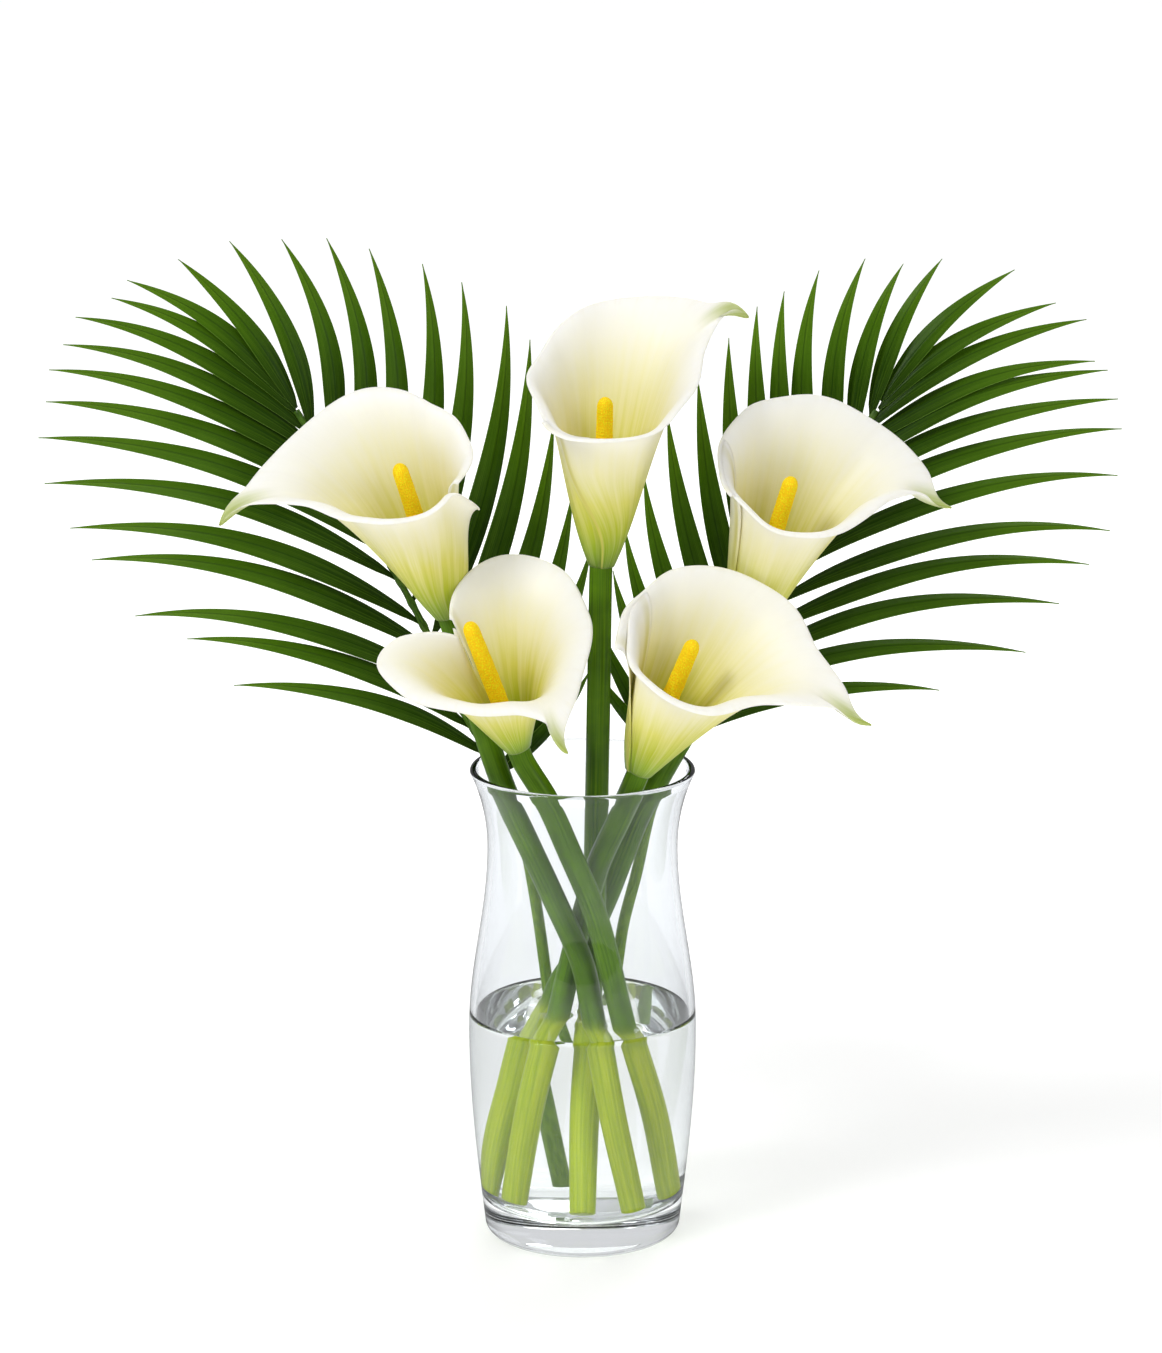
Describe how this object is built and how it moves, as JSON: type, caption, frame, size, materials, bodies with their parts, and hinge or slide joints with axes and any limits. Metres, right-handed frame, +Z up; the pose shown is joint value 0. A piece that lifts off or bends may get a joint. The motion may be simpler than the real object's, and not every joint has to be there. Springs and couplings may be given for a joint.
{
  "type": "calla lilies in a vase",
  "caption": "Calla lilies and palm fronds standing in water in a waisted clear glass vase, a free-standing flower arrangement.",
  "frame": {"origin": "centre of the underside of the vase's foot", "axes": "+Z up out of the vase, +X to the right along the spread of the fronds, -Y towards the front of the arrangement"},
  "size_m": [0.5404, 0.1992, 0.4915],
  "materials": {
    "clear_glass": "clear polished glass",
    "water": "clear still water",
    "lily_stem": "satin fresh stem",
    "spathe": "waxy satin petal",
    "spadix": "matte, finely grained",
    "palm_rib": "satin",
    "palm_leaflet": "semi-gloss leaf"
  },
  "bodies": {
    "root": {"vase": "clear_glass", "water": "water", "centre_stem": "lily_stem", "centre_spathe": "spathe", "centre_spadix": "spadix", "upper_left_stem": "lily_stem", "upper_left_spathe": "spathe", "upper_left_spadix": "spadix", "upper_right_stem": "lily_stem", "upper_right_spathe": "spathe", "upper_right_spadix": "spadix", "lower_left_stem": "lily_stem", "lower_left_spathe": "spathe", "lower_left_spadix": "spadix", "lower_right_stem": "lily_stem", "lower_right_spathe": "spathe", "lower_right_spadix": "spadix", "left_frond_rib": "palm_rib", "left_leaflet_01": "palm_leaflet", "left_leaflet_02": "palm_leaflet", "left_leaflet_03": "palm_leaflet", "left_leaflet_04": "palm_leaflet", "left_leaflet_05": "palm_leaflet", "left_leaflet_06": "palm_leaflet", "left_leaflet_07": "palm_leaflet", "left_leaflet_08": "palm_leaflet", "left_leaflet_09": "palm_leaflet", "left_leaflet_10": "palm_leaflet", "left_leaflet_11": "palm_leaflet", "left_leaflet_12": "palm_leaflet", "left_leaflet_13": "palm_leaflet", "left_leaflet_14": "palm_leaflet", "left_leaflet_15": "palm_leaflet", "left_leaflet_16": "palm_leaflet", "left_leaflet_17": "palm_leaflet", "left_leaflet_18": "palm_leaflet", "left_leaflet_19": "palm_leaflet", "left_leaflet_20": "palm_leaflet", "right_frond_rib": "palm_rib", "right_leaflet_01": "palm_leaflet", "right_leaflet_02": "palm_leaflet", "right_leaflet_03": "palm_leaflet", "right_leaflet_04": "palm_leaflet", "right_leaflet_05": "palm_leaflet", "right_leaflet_06": "palm_leaflet", "right_leaflet_07": "palm_leaflet", "right_leaflet_08": "palm_leaflet", "right_leaflet_09": "palm_leaflet", "right_leaflet_10": "palm_leaflet", "right_leaflet_11": "palm_leaflet", "right_leaflet_12": "palm_leaflet", "right_leaflet_13": "palm_leaflet", "right_leaflet_14": "palm_leaflet", "right_leaflet_15": "palm_leaflet", "right_leaflet_16": "palm_leaflet", "right_leaflet_17": "palm_leaflet", "right_leaflet_18": "palm_leaflet", "right_leaflet_19": "palm_leaflet", "right_leaflet_20": "palm_leaflet"}
  },
  "joints": []
}
